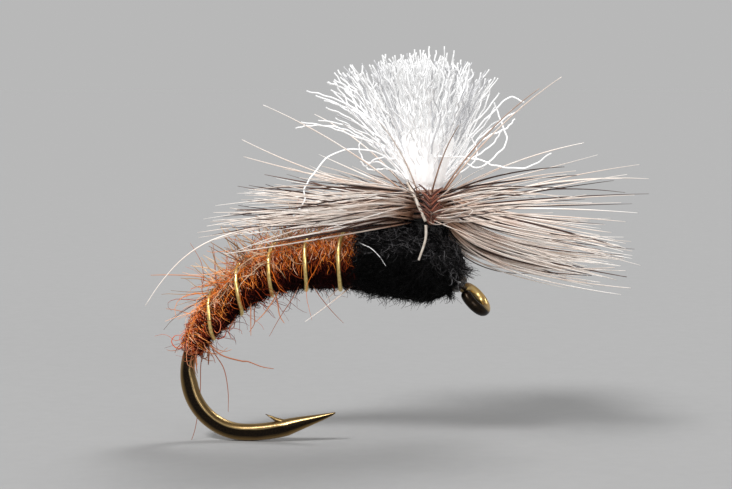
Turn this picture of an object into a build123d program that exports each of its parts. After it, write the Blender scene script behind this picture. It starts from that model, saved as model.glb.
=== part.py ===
"""A parachute-style dry fly on a curved-shank hook, in millimetres.

The fly is a stack of materials bound to a bronzed wire hook with tying thread. From the wire
outwards they are: a thread base, a white yarn whose butt lies along the shank and whose end stands
up as the post, thread lashings, a dubbed abdomen with a spiral metal rib, a dubbed thorax, and a
hackle feather wound round the post so that its barbs spread like a parachute.

Frame: the origin is the centre of the hook's eye, +X runs forward past the eye, +Z is up, along the
post, and the hook's wire lies in the XZ plane. Places along the wire are given as a distance s from
the eye, measured back along the wire.
"""

from build123d import *
from math import asin, cos, pi, radians, sin, sqrt
import os

# ---------------------------------------------------------------- hook: a size 12 curved-shank hook
WIRE_R = 0.275            # wire radius
EYE_WIRE_R = 0.21         # the wire is drawn thinner where it forms the eye
EYE_RING_R = 0.546        # centreline radius of the eye's ring
EYE_BORE_R = 0.36         # flat land left inside the eye by its forming mandrel
EYE_DROP = 48.0           # degrees that the eye's ring points below +X
EYE_SLIT = 0.05           # gap where the wire's end closes the ring
EYE_SLIT_AT = 32.0        # degrees round the ring from the neck to that gap
NECK_STATIONS = [(-0.06, 0.19), (0.2, 0.225), (0.55, WIRE_R)]     # s and radius of the tapered neck
SHANK_DROP = 40.0         # degrees that the shank points below +X where it meets the eye
# Radius and turn in degrees of each arc of the wire, from the eye back to the spear.
WIRE_ARCS = [(3.90, 30), (13.46, 20), (4.68, 32), (13.26, 8), (2.93, 40), (2.26, 90), (6.24, 16)]
BEND_ARC = 5              # the arc that is the round bend, whose sides are forged flat
SPEAR = 1.93              # straight part that ends in the point
FORGED_HALF = 0.235       # half of the wire's thickness across the forged flats
POINT_LENGTH = 2.0        # length of the ground point
POINT_TIP_R = 0.012
POINT_SECTIONS = 7
POINT_SHIFT = 0.45        # share of the lost radius by which the point's axis moves up into the gape

# ---------------------------------------------------------------- barb of the hook, cut from the spear
BARB_FROM_TIP = 2.10      # where the barb's root is, back from the tip
BARB_OUT = 0.54           # how far back from its root the barb reaches
BARB_HIGH = 0.66          # height of its tip over the wire's axis
BARB_NOTCH = 0.22         # how far back from its root the notch under it is
BARB_WIDTH = 0.20
BARB_HEEL = 0.45          # how far the raised metal runs ahead of the root
BARB_SUNK = 0.10          # height over the wire's axis at which the raised metal starts

# ---------------------------------------------------------------- thread
THREAD = 0.06             # thickness of the tying thread
THREAD_VALLEY = 0.60      # share of that thickness left in the valleys between two turns
THREAD_SHOULDER = 0.30    # share of a turn's width over which it rounds off at each side
GAP = 0.01                # clearance between a layer and what it is wound on
THREAD_FROM, THREAD_TO = 0.60, 12.35
WHIP_FROM, WHIP_TO = 0.16, 0.56
# Varnish over the whip finish: share of its length, and thickness.
CEMENT = [(0.0, 0.025), (0.12, 0.055), (0.35, 0.08), (0.65, 0.08), (0.88, 0.055), (1.0, 0.025)]
TIE_IN_FROM, TIE_IN_TO = 11.98, 12.28
OVER_WIRE = WIRE_R + GAP                # inner radius of what is wound on the bare wire
OVER_BASE = OVER_WIRE + THREAD + GAP    # inner radius of what is wound on the thread base

# ---------------------------------------------------------------- post yarn
POST_X = -1.87            # the post stands over this place on the shank
POST_R = 0.50             # radius of the bound stem
POST_LOW, POST_HIGH = 1.62, 4.25        # bottom and top of the bound stem
STEM_SUNK = 0.25          # how far the stem runs down into the butt
TUFT_TOP = 9.35
TUFT_R = 3.05             # radius of the flared tuft near its top
TUFT_SHOULDER = 8.35      # height at which the tuft is widest
TUFT_WAIST_R, TUFT_WAIST = 1.25, 6.1    # radius and height half way up the flare
BUTT_LIFT = 0.10          # the butt's centre above the wire's
BUTT_STATIONS = [(1.45, 0.47), (3.4, 0.56), (5.4, 0.52), (7.4, 0.46)]   # s and radius
LASH_FRONT = (1.02, 1.36)               # s at both ends of each lashing
LASH_REAR = (2.45, 2.95)
BINDING_LOW, BINDING_HIGH = 2.04, 4.21  # heights at both ends of the binding round the stem
OVER_STEM = POST_R + GAP
OVER_BINDING = OVER_STEM + THREAD + GAP

# ---------------------------------------------------------------- dubbing: s and radius at each station
THORAX_STATIONS = [
    (0.60, 0.76), (1.0, 1.20), (1.55, 1.43), (2.3, 1.50), (3.1, 1.50), (3.8, 1.42), (4.21, 1.30),
]
ABDOMEN_STATIONS = [
    (4.24, 1.22), (5.8, 1.10), (7.4, 0.95), (8.9, 0.78), (10.2, 0.66), (11.2, 0.57), (11.92, 0.43),
]

# ---------------------------------------------------------------- rib
RIB_R = 0.085             # radius of the ribbing wire
RIB_TURNS = 4.94
RIB_FIRST, RIB_LAST = 11.62, 4.34       # s where the spiral starts and ends
RIB_PHASE = 170.0         # degrees round the abdomen where the spiral starts, from its -Y side
RIB_POINTS = 10           # points for each turn
RIB_CLEAR = 0.035         # room between the rib and the dubbing's even surface

# ---------------------------------------------------------------- hackle
HACKLE_TURNS = 5
QUILL_R = 0.075           # radius of the feather's stem
HACKLE_LOW = 3.02         # height of the lowest turn of the stem
HACKLE_PITCH = 0.23
HACKLE_REACH = 8.75       # reach of the feather's barbs from the post's axis
BARBS_EACH_TURN = 32
BARB_SECTIONS = [(0.0, 0.12), (0.35, 0.10), (0.7, 0.07), (1.0, 0.03)]   # share of the reach, and thickness
BARB_RISE = [-1.35, -0.70, -0.05, 0.65, 1.35]      # height of each turn's tips over its root
BARB_BEND = 1.7           # barbs leave level and curve towards their tips' height
HUB_WIDTH = 0.08          # width of the band of stem that the barbs grow from
TIE_OFF_LOW, TIE_OFF_HIGH = 2.72, 2.90

OVERRUN = 0.3             # how far a cut runs past both ends of what it cuts

os.makedirs("parts", exist_ok=True)


def save(shape, node):
    export_step(shape, f"parts/{node}.step")
    print(node, round(shape.volume, 3))


# ---------------------------------------------------------------- the wire's centreline
def wire_runs():
    """Each arc as (s at its start, length, start point, heading, radius, turn), and a last straight run."""
    drop = radians(EYE_DROP)
    x, z = -EYE_RING_R * cos(drop), EYE_RING_R * sin(drop)
    heading, s, runs = 180.0 - SHANK_DROP, 0.0, []
    for radius, turn in WIRE_ARCS:
        length = radius * radians(turn)
        runs.append((s, length, (x, z), heading, radius, turn))
        a, b = radians(heading), radians(heading + turn)
        x += radius * (sin(b) - sin(a))
        z -= radius * (cos(b) - cos(a))
        heading, s = heading + turn, s + length
    runs.append((s, SPEAR, (x, z), heading, None, 0))
    return runs


RUNS = wire_runs()
WIRE_END = RUNS[-1][0] + SPEAR


def wire_at(s):
    """The point of the centreline at s, as (x, z), and its heading in degrees there."""
    run = [r for r in RUNS if r[0] <= s + 1e-9][-1] if s > 0 else RUNS[0]
    start, _, (x, z), heading, radius, _ = run
    a = radians(heading)
    if radius is None or s < 0:
        return (x + (s - start) * cos(a), z + (s - start) * sin(a)), heading
    b = a + (s - start) / radius
    return (x + radius * (sin(b) - sin(a)), z - radius * (cos(b) - cos(a))), b * 180 / pi


def wire_path(s0, s1):
    """The centreline from s0 to s1 as one wire of tangent arcs in the XZ plane."""
    edges = []
    for start, length, _, _, radius, _ in RUNS:
        a, b = max(start, s0), min(start + length, s1)
        if b - a < 1e-6:
            continue
        (x0, z0), _ = wire_at(a)
        (x1, z1), _ = wire_at(b)
        if radius is None:
            edges.append(Line((x0, 0, z0), (x1, 0, z1)))
        else:
            (xm, zm), _ = wire_at((a + b) / 2)
            edges.append(ThreePointArc((x0, 0, z0), (xm, 0, zm), (x1, 0, z1)))
    return Wire(edges)


def across(s, lift=0.0):
    """The plane square to the wire at s, moved up from the wire by lift."""
    (x, z), heading = wire_at(s)
    a = radians(heading)
    return Plane(origin=(x + lift * sin(a), 0, z - lift * cos(a)), x_dir=(0, 1, 0), z_dir=(cos(a), 0, sin(a)))


def tube(s0, s1, outer, inner=0.0):
    """A round tube along the wire."""
    face = across(s0) * Circle(outer)
    if inner:
        face = face - across(s0) * Circle(inner)
    return sweep(face, wire_path(s0, s1))


def dressed_wire(stations):
    """The wire and its thread base, as the core that a layer with these stations leaves free."""
    return tube(stations[0][0] - OVERRUN, stations[-1][0] + OVERRUN, OVER_BASE)


def body_of(stations, grow=0.0, lift=0.0):
    """A smooth round body through circles of the given radii along the wire."""
    return loft([across(s, lift) * Circle(r + grow) for s, r in stations])


def wraps(plane, inner, length):
    """Touching turns of thread round plane's Z axis, as one ridged sleeve that starts at the plane."""
    turns = max(2, round(length / THREAD))
    step = length / turns
    base, top = inner + THREAD_VALLEY * THREAD, inner + THREAD
    outline = [(inner, 0), (base, 0)]
    for i in range(turns):
        outline.append((top, (i + THREAD_SHOULDER) * step))
        outline.append((top, (i + 1 - THREAD_SHOULDER) * step))
        outline.append((base, (i + 1) * step))
    outline.append((inner, length))
    profile = make_face(Plane.XZ * Polyline(*outline, close=True))
    return plane * revolve(profile, Axis.Z, 360)


# ---------------------------------------------------------------- hook
def eye():
    """The ring, its flat inner land, and the slit beside the neck where the wire's end closes it."""
    drop = radians(EYE_DROP)
    ring_plane = Plane(origin=(0, 0, 0), x_dir=(-cos(drop), 0, sin(drop)), z_dir=(sin(drop), 0, cos(drop)))
    through = 4 * EYE_WIRE_R
    ring = ring_plane * Torus(EYE_RING_R, EYE_WIRE_R)
    bore = ring_plane * Cylinder(EYE_BORE_R, through)
    slit = ring_plane * Rot(0, 0, EYE_SLIT_AT) * Pos(EYE_RING_R, 0, 0) * Box(through, EYE_SLIT, through)
    return ring, bore, slit


def point():
    """The ground point: it thins faster and faster towards the tip, more from below than from above."""
    sections = []
    for i in range(POINT_SECTIONS):
        share = i / (POINT_SECTIONS - 1)
        r = POINT_TIP_R + (WIRE_R - POINT_TIP_R) * sqrt(1 - share) * (1 - 0.35 * share)
        s = WIRE_END - POINT_LENGTH * (1 - share)
        sections.append(across(s, lift=-POINT_SHIFT * (WIRE_R - r)) * Circle(r))
    return loft(sections)


def hook_barb():
    """A thin wedge raised from the top of the spear, its tip pointing back towards the bend."""
    (x, z), heading = wire_at(WIRE_END - BARB_FROM_TIP)
    a = radians(heading)
    # Local x runs back along the spear, local y rises from it into the gape.
    side = Plane(origin=(x, 0, z), x_dir=(-cos(a), 0, -sin(a)), z_dir=(0, 1, 0))
    outline = [
        (-BARB_HEEL, BARB_SUNK),
        (-BARB_HEEL, 0.85 * WIRE_R),
        (BARB_OUT, BARB_HIGH),
        (BARB_NOTCH, WIRE_R),
        (BARB_NOTCH / 2, BARB_SUNK),
    ]
    return extrude(side * make_face(Polyline(*outline, close=True)), BARB_WIDTH / 2, both=True)


def forging():
    """What is pressed off both sides of the round bend."""
    _, _, (x, z), heading, radius, _ = RUNS[BEND_ARC]
    a = radians(heading)
    centre = (x - radius * sin(a), 0, z + radius * cos(a))
    low, high = radius - 2 * WIRE_R, radius + 2 * WIRE_R
    depth = WIRE_R
    quarter = Pos(-high / 2, -high / 2, 0) * Box(high, high, 4 * depth)
    side = extrude(Circle(high) - Circle(low), depth) & quarter
    place = Plane(origin=centre, x_dir=(1, 0, 0), z_dir=(0, -1, 0))
    near = place * (Pos(0, 0, FORGED_HALF) * side)
    far = place * (Pos(0, 0, -FORGED_HALF - depth) * side)
    return near, far


def hook():
    ring, bore, slit = eye()
    neck = loft([across(s) * Circle(r) for s, r in NECK_STATIONS])
    wire = tube(NECK_STATIONS[-1][0], WIRE_END - POINT_LENGTH, WIRE_R)
    near, far = forging()
    return ring + neck - bore - slit + wire + point() + hook_barb() - near - far


# ---------------------------------------------------------------- thread
def thread_base():
    return tube(THREAD_FROM, THREAD_TO, OVER_WIRE + THREAD, OVER_WIRE)


def whip_finish():
    return wraps(across(WHIP_FROM), OVER_WIRE, WHIP_TO - WHIP_FROM)


def head_cement():
    """Clear varnish over the whip finish, a bead that swells towards its middle."""
    length = WHIP_TO - WHIP_FROM
    outside = [(OVER_BASE + thickness, share * length) for share, thickness in CEMENT]
    profile = make_face(Plane.XZ * Polyline((OVER_BASE, 0), *outside, (OVER_BASE, length), close=True))
    return across(WHIP_FROM) * revolve(profile, Axis.Z, 360)


def rib_tie_in():
    """The band of thread that holds the start of the rib down, where the dressing ends."""
    return wraps(across(TIE_IN_FROM), OVER_BASE, TIE_IN_TO - TIE_IN_FROM)


def over_butt():
    """Inner radius of the lashing that goes round the yarn's butt, from the butt's largest radius."""
    return max(r for _, r in BUTT_STATIONS) + GAP


def post_lashing_front():
    return wraps(across(LASH_FRONT[0]), OVER_BASE, LASH_FRONT[1] - LASH_FRONT[0])


def post_lashing_rear():
    return wraps(across(LASH_REAR[0], BUTT_LIFT), over_butt(), LASH_REAR[1] - LASH_REAR[0])


def level(height):
    """The level plane that cuts the post's axis at this height."""
    return Plane(origin=(POST_X, 0, height), z_dir=(0, 0, 1))


def post_binding():
    return wraps(level(BINDING_LOW), OVER_STEM, BINDING_HIGH - BINDING_LOW)


def hackle_tie_off():
    return wraps(level(TIE_OFF_LOW), OVER_BINDING, TIE_OFF_HIGH - TIE_OFF_LOW)


# ---------------------------------------------------------------- yarn
def tuft_profile():
    """Half of the stem and tuft in section: a straight stem, a flare that curves outwards, and a round top."""
    foot = POST_LOW - STEM_SUNK
    rise = TUFT_TOP - TUFT_SHOULDER
    top_r = (TUFT_R ** 2 + rise ** 2) / (2 * rise)
    half_angle = asin(TUFT_R / top_r) / 2
    crown = (top_r * sin(half_angle), TUFT_TOP - top_r * (1 - cos(half_angle)))
    return make_face(Plane.XZ * Wire([
        Line((0, foot), (POST_R, foot)),
        Line((POST_R, foot), (POST_R, POST_HIGH)),
        ThreePointArc((POST_R, POST_HIGH), (TUFT_WAIST_R, TUFT_WAIST), (TUFT_R, TUFT_SHOULDER)),
        ThreePointArc((TUFT_R, TUFT_SHOULDER), crown, (0, TUFT_TOP)),
        Line((0, TUFT_TOP), (0, foot)),
    ]))


def post_yarn():
    """One hank of yarn: its butt tapers back along the shank, its stem stands up and its end flares."""
    butt = body_of(BUTT_STATIONS, lift=BUTT_LIFT)
    stem = Pos(POST_X, 0, 0) * revolve(tuft_profile(), Axis.Z, 360)
    return stem + butt - dressed_wire(BUTT_STATIONS)


# ---------------------------------------------------------------- dubbing
def thorax_dubbing():
    """The thorax, with the room that the stem, both lashings and the hackle's seat take out of it."""
    body = body_of(THORAX_STATIONS) - dressed_wire(THORAX_STATIONS)
    butt = body_of(BUTT_STATIONS, grow=GAP, lift=BUTT_LIFT)
    foot = POST_LOW - STEM_SUNK - 2 * GAP
    stem = level((foot + TIE_OFF_HIGH) / 2) * Cylinder(OVER_BINDING, TIE_OFF_HIGH - foot)
    front = tube(LASH_FRONT[0] - GAP, LASH_FRONT[1] + GAP, OVER_BASE + THREAD + GAP)
    middle = across((LASH_REAR[0] + LASH_REAR[1]) / 2, BUTT_LIFT)
    rear = middle * Cylinder(over_butt() + THREAD + GAP, LASH_REAR[1] - LASH_REAR[0] + 2 * GAP)
    seat = level(TIE_OFF_LOW - GAP + POST_R) * Cylinder(2 * TUFT_R, 2 * POST_R)
    return body - butt - stem - front - rear - seat


def abdomen_dubbing():
    body = body_of(ABDOMEN_STATIONS) - dressed_wire(ABDOMEN_STATIONS)
    return body - body_of(BUTT_STATIONS, grow=GAP, lift=BUTT_LIFT)


# ---------------------------------------------------------------- rib
def abdomen_radius(s):
    """The abdomen's radius at s, straight between its stations."""
    for (s0, r0), (s1, r1) in zip(ABDOMEN_STATIONS, ABDOMEN_STATIONS[1:]):
        if s <= s1:
            return r0 + (r1 - r0) * (s - s0) / (s1 - s0)
    return ABDOMEN_STATIONS[-1][1]


def rib_point(share):
    """A point of the rib's spiral, from 0 where it starts at the rear to 1 behind the thorax."""
    turn = radians(RIB_PHASE) + share * RIB_TURNS * 2 * pi
    s = RIB_FIRST + (RIB_LAST - RIB_FIRST) * share
    r = abdomen_radius(s) + RIB_R + RIB_CLEAR
    (x, z), heading = wire_at(s)
    a = radians(heading)
    y, up = -r * cos(turn), r * sin(turn)
    return (x + up * sin(a), y, z - up * cos(a))


def rib_wire():
    count = round(RIB_TURNS * RIB_POINTS) + 1
    line = Spline(*[rib_point(i / (count - 1)) for i in range(count)])
    section = Plane(origin=line @ 0, z_dir=line % 0) * Circle(RIB_R)
    return sweep(section, line)


# ---------------------------------------------------------------- hackle
def hackle_quill():
    """The feather's stem, wound round the bound post."""
    line = Pos(POST_X, 0, HACKLE_LOW) * Helix(HACKLE_PITCH, HACKLE_PITCH * HACKLE_TURNS, OVER_BINDING + QUILL_R)
    section = Plane(origin=line @ 0, z_dir=line % 0) * Circle(QUILL_R)
    return sweep(section, line, is_frenet=True)


def hackle_barbs(turn):
    """The barbs that one turn of the feather spreads: tapered spokes on the band that they grow from."""
    root_r = OVER_BINDING + 2 * QUILL_R + GAP
    band = BARB_SECTIONS[0][1]
    hub = Cylinder(root_r + HUB_WIDTH, band) - Cylinder(root_r, 2 * band)
    spoke_from = root_r + HUB_WIDTH / 2
    sections = []
    for share, size in BARB_SECTIONS:
        out = spoke_from + share * (HACKLE_REACH - spoke_from)
        lift = BARB_RISE[turn] * share ** BARB_BEND
        sections.append(Plane(origin=(out, 0, lift), z_dir=(1, 0, 0)) * Rectangle(size, size))
    spoke = loft(sections)
    step = 360 / BARBS_EACH_TURN
    spokes = [Rot(0, 0, (i + turn / HACKLE_TURNS) * step) * spoke for i in range(BARBS_EACH_TURN)]
    return Pos(POST_X, 0, HACKLE_LOW + (turn + 0.5) * HACKLE_PITCH) * (hub + spokes)


def main():
    save(hook(), "hook")
    save(thread_base(), "thread_base")
    save(whip_finish(), "whip_finish")
    save(head_cement(), "head_cement")
    save(rib_tie_in(), "rib_tie_in")
    save(post_lashing_front(), "post_lashing_front")
    save(post_lashing_rear(), "post_lashing_rear")
    save(post_binding(), "post_binding")
    save(post_yarn(), "post_yarn")
    save(hackle_tie_off(), "hackle_tie_off")
    save(thorax_dubbing(), "thorax_dubbing")
    save(abdomen_dubbing(), "abdomen_dubbing")
    save(rib_wire(), "rib_wire")
    save(hackle_quill(), "hackle_quill")
    for turn in range(HACKLE_TURNS):
        save(hackle_barbs(turn), f"hackle_barbs_{turn + 1}")


main()
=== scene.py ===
"""The looks of the dry fly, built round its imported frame.

Sizes are in millimetres, and meshes are scaled to metres when they are made. Places along the
hook's wire are distances s from the eye. Angles round the body start at its near side (-Y) and
grow towards its top. Headings turn round +Z from +X. Tables give angles in degrees.
"""

import bpy
import numpy as np
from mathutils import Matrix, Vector
from numpy import cos, radians, sin


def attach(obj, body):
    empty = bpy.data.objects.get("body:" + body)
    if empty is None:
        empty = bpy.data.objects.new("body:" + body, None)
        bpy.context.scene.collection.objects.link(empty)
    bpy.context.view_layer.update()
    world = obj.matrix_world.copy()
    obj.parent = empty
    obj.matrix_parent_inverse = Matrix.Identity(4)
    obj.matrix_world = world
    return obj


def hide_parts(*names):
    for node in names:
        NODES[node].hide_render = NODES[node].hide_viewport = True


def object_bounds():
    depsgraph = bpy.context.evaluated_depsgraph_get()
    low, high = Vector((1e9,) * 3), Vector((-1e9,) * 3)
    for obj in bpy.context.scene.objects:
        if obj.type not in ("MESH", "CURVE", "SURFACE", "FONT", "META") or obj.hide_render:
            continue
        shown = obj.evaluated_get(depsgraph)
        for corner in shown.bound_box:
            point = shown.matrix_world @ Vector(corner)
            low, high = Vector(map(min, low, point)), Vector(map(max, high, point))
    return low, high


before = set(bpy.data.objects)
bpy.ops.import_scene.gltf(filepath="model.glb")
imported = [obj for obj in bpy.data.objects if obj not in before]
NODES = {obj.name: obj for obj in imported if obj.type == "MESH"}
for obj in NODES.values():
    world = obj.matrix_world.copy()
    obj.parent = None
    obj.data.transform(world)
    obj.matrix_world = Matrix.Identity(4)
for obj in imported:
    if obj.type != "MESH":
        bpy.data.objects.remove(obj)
CAD_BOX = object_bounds()
SCENE = bpy.context.scene
MM = 0.001
TAU = 2 * np.pi
NEAR = np.array([0, -1, 0])

# ---- sizes that the frame shares
WIRE_R = 0.275
EYE_WIRE_R = 0.21
EYE_RING_R = 0.546
EYE_DROP = 48  # degrees that the eye's ring points below +X
EYE_ROLL = 12  # degrees that it leans over to the near side
SHANK_DROP = 40  # degrees that the wire rises to the rear where it leaves the eye
# Radius and turn in degrees of each arc of the wire, from the eye back to the spear.
WIRE_ARCS = [
    (3.9, 30), (13.46, 20), (4.68, 32), (13.26, 8), (2.93, 40), (2.26, 90), (6.24, 16),
]
SPEAR = 1.93
POINT_LENGTH = 2
POINT_R = 0.012
FORGED_HALF = 0.235
BEND_FROM, BEND_TO = 12.9, 18.6  # s at both ends of the forged bend and spear
SPREAD = 0.055  # how much wider forging makes the wire on its inner side

POST_X = -1.87
POST_R = 0.5
POST_FOOT = 4.15  # height where the fibres fan out
HACKLE_LOW, HACKLE_HIGH = 3.02, 4.17
HACKLE_TURNS = 5
QUILL_R = 0.075
QUILL_COIL_R = 0.655

# s and radius along each dubbed body.
THORAX = [
    (0.42, 0.54), (0.62, 0.84), (1, 1.2), (1.55, 1.42),
    (2.3, 1.46), (3.1, 1.48), (3.8, 1.42), (4.4, 1.28),
]
ABDOMEN = [
    (4.1, 1.22), (5.8, 1.1), (7.4, 0.95), (8.9, 0.78), (10.2, 0.66), (11.2, 0.57), (12, 0.43),
]
PACKED = 0.93  # the skin that hairs stand on, as a share of the frame's radius
RIB_TURNS = 4.94
RIB_FIRST, RIB_LAST = 11.62, 4.34
RIB_PHASE = radians(170)
RIB_R = 0.086
RIB_OUT = 0.16  # how far the rib's middle stands off the abdomen's skin


# ---- the hook's wire
def unit(v):
    return v / np.maximum(np.linalg.norm(v, axis=-1, keepdims=True), 1e-12)


def smooth(x):
    x = np.clip(x, 0, 1)
    return x * x * (3 - 2 * x)


def shares(count):
    """Numbers evenly from 0 to 1."""
    return np.linspace(0, 1, count)


def circle(sides):
    """Angles evenly round a circle."""
    return TAU * np.arange(sides) / sides


def column(rng, low, high, count):
    return rng.uniform(low, high, (count, 1))


def wave(beat, u, phase):
    return sin(TAU * beat * u + phase)


def around(angle, a, b):
    """The point of the circle through a and b at each angle from a."""
    return cos(angle)[..., None] * a + sin(angle)[..., None] * b


def wire_runs():
    """Each run of the wire: s at its start, its start, its heading and its radius (0: straight)."""
    drop = radians(EYE_DROP)
    x, z = -EYE_RING_R * cos(drop), EYE_RING_R * sin(drop)
    heading, s, runs = radians(180 - SHANK_DROP), 0, []
    for radius, turn in WIRE_ARCS:
        runs.append((s, x, z, heading, radius))
        after = heading + radians(turn)
        x += radius * (sin(after) - sin(heading))
        z -= radius * (cos(after) - cos(heading))
        heading, s = after, s + radius * radians(turn)
    return runs + [(s, x, z, heading, 0)]


RUNS = wire_runs()
WIRE_END = RUNS[-1][0] + SPEAR
POINT_FROM = WIRE_END - POINT_LENGTH


def wire_frames(s):
    """The wire's centreline at each s: its point, the way it runs and the way up from it."""
    s = np.asarray(s, float)
    x, z, heading, zero = np.zeros((4, *s.shape))
    for start, x0, z0, h0, radius in RUNS:
        here = (s >= start) | (start == 0)
        d = s[here] - start
        if radius:
            h = h0 + np.maximum(d, 0) / radius
            back = np.minimum(d, 0)
            x[here] = x0 + radius * (sin(h) - sin(h0)) + back * cos(h0)
            z[here] = z0 - radius * (cos(h) - cos(h0)) + back * sin(h0)
            heading[here] = h
        else:
            x[here], z[here], heading[here] = x0 + d * cos(h0), z0 + d * sin(h0), h0
    point = np.stack([x, zero, z], -1)
    way = np.stack([cos(heading), zero, sin(heading)], -1)
    up = np.stack([sin(heading), zero, -cos(heading)], -1)
    return point, way, up


def round_wire(s, turn, radius):
    """The point at this angle and distance round the wire at s."""
    point, _, up = wire_frames(s)
    return point + radius[..., None] * around(turn, NEAR, up)


# ---- meshes
BAKE_SPREAD = 0.004  # how far the sides of a fibre lie from its tone on the bake's map


def new_object(name, points, face_groups, tone=None, along=None, spread=None):
    """An object from points in millimetres, arrays of faces and the values that colour it."""
    me = bpy.data.meshes.new(name)
    me.vertices.add(len(points))
    me.vertices.foreach_set("co", (points * MM).astype(np.float32).ravel())
    corners = np.concatenate([f.ravel() for f in face_groups]).astype(np.int32)
    sizes = np.concatenate([np.full(len(f), f.shape[1]) for f in face_groups]).astype(np.int32)
    starts = np.concatenate([[0], np.cumsum(sizes)[:-1]]).astype(np.int32)
    me.loops.add(len(corners))
    me.loops.foreach_set("vertex_index", corners)
    me.polygons.add(len(sizes))
    me.polygons.foreach_set("loop_start", starts)
    me.update(calc_edges=True)
    me.polygons.foreach_set("use_smooth", np.ones(len(sizes), bool))
    for key, values in (("tone", tone), ("along", along)):
        if values is not None:
            layer = me.attributes.new(key, "FLOAT", "POINT")
            layer.data.foreach_set("value", values.astype(np.float32))
    if spread is not None:
        flat = np.stack([np.clip(tone + spread, 0, 1), along], -1)[corners]
        me.uv_layers.new(name="OFBake").data.foreach_set("uv", flat.astype(np.float32).ravel())
    obj = bpy.data.objects.new(name, me)
    SCENE.collection.objects.link(obj)
    return obj


def shells(name, rings, tone=None, spread=None):
    """Closed bodies through rings of points, as one object: rings is bodies by rings by sides by 3.
    tone and spread, if given, broadcast to the points."""
    index = np.arange(rings[..., 0].size).reshape(rings.shape[:3])
    after = np.roll(index, -1, axis=2)
    walls = np.stack([index[:, :-1], after[:, :-1], after[:, 1:], index[:, 1:]], -1).reshape(-1, 4)
    caps = np.concatenate([index[:, 0, ::-1], index[:, -1]])
    along = None if tone is None else shares(index.shape[1])[:, None]
    values = [v if v is None else np.broadcast_to(v, index.shape).ravel()
              for v in (tone, along, spread)]
    return new_object(name, rings.reshape(-1, 3), [walls, caps], *values)


def carried_normals(lines):
    """Two normals of each polyline, carried along it so that they turn as little as possible."""
    way = unit(np.gradient(lines, axis=1))
    across = np.where(np.abs(way[:, 0, 2:3]) < 0.9, [[0, 0, 1]], [[1, 0, 0]])
    n = unit(np.cross(way[:, 0], across))
    normals = [n]
    for i in range(1, lines.shape[1]):
        n = unit(n - np.sum(n * way[:, i], -1, keepdims=True) * way[:, i])
        normals.append(n)
    n = np.stack(normals, 1)
    return n, np.cross(way, n)


def tubes(name, lines, radii, tone=0.5, sides=3):
    """Closed tubes along polylines, as one object: lines is tubes by points by 3, radii is tubes
    by points, and tone is one value or one for each."""
    n, b = carried_normals(lines)
    angle = circle(sides)
    ring = around(angle, n[:, :, None], b[:, :, None])
    tone = np.reshape(np.broadcast_to(tone, len(lines)), (-1, 1, 1))
    return shells(name, lines[:, :, None] + radii[:, :, None, None] * ring, tone,
                  BAKE_SPREAD * cos(angle) if len(lines) > 1 else None)


def tube(name, line, start_r, end_r, sides):
    """One closed tube along a polyline, whose radius changes evenly."""
    return tubes(name, line[None], np.linspace(start_r, end_r, len(line))[None], sides=sides)


def fibres(name, slot, material, lines, radius, tones, *nodes, thin=0.6, sides=5):
    """A piece of fibres, which thin towards their tips by this share. radius is one for all of
    them, or one for each."""
    lines = np.array(lines)
    u = shares(lines.shape[1])
    radii = np.reshape(np.broadcast_to(radius, len(lines)), (-1, 1)) * (1 - thin * u ** 2)[None]
    place(tubes(name, lines, radii, np.array(tones), sides), slot, material, *nodes)


def spline(points, count):
    """A smooth polyline of count points through a few points, by Catmull-Rom."""
    p = np.asarray(points, float)
    p = np.concatenate([[2 * p[0] - p[1]], p, [2 * p[-1] - p[-2]]])
    t = np.linspace(0, len(p) - 3 - 1e-9, count)
    i = t.astype(int)
    f = (t - i)[:, None]
    a, b, c, d = p[i], p[i + 1], p[i + 2], p[i + 3]
    return 0.5 * (2 * b + (c - a) * f + (2 * a - 5 * b + 4 * c - d) * f ** 2
                  + (3 * b - a - 3 * c + d) * f ** 3)


def wander(start, heading, climb, steps, count=40):
    """A loose fibre's polyline from start, with this heading and climb. A step is (length, turn of
    the climb) or (length, turn of the heading, turn of the climb)."""
    point, points = np.array(start, float), [np.array(start, float)]
    for length, *turn, bend in steps:
        heading, climb = heading + sum(turn), climb + bend
        a, e = radians(heading), radians(climb)
        point = point + length * np.array([cos(e) * cos(a), cos(e) * sin(a), sin(e)])
        points.append(point)
    return spline(points, count)


def place(obj, slot, material, *nodes):
    """Give the piece its material and body, and hide the nodes of the frame that it replaces; slot
    is not used.
    """
    obj.data.materials.append(MATERIALS[material])
    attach(obj, "root")
    if nodes:
        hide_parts(*nodes)


# ---- materials
MATERIALS = {}


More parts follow.
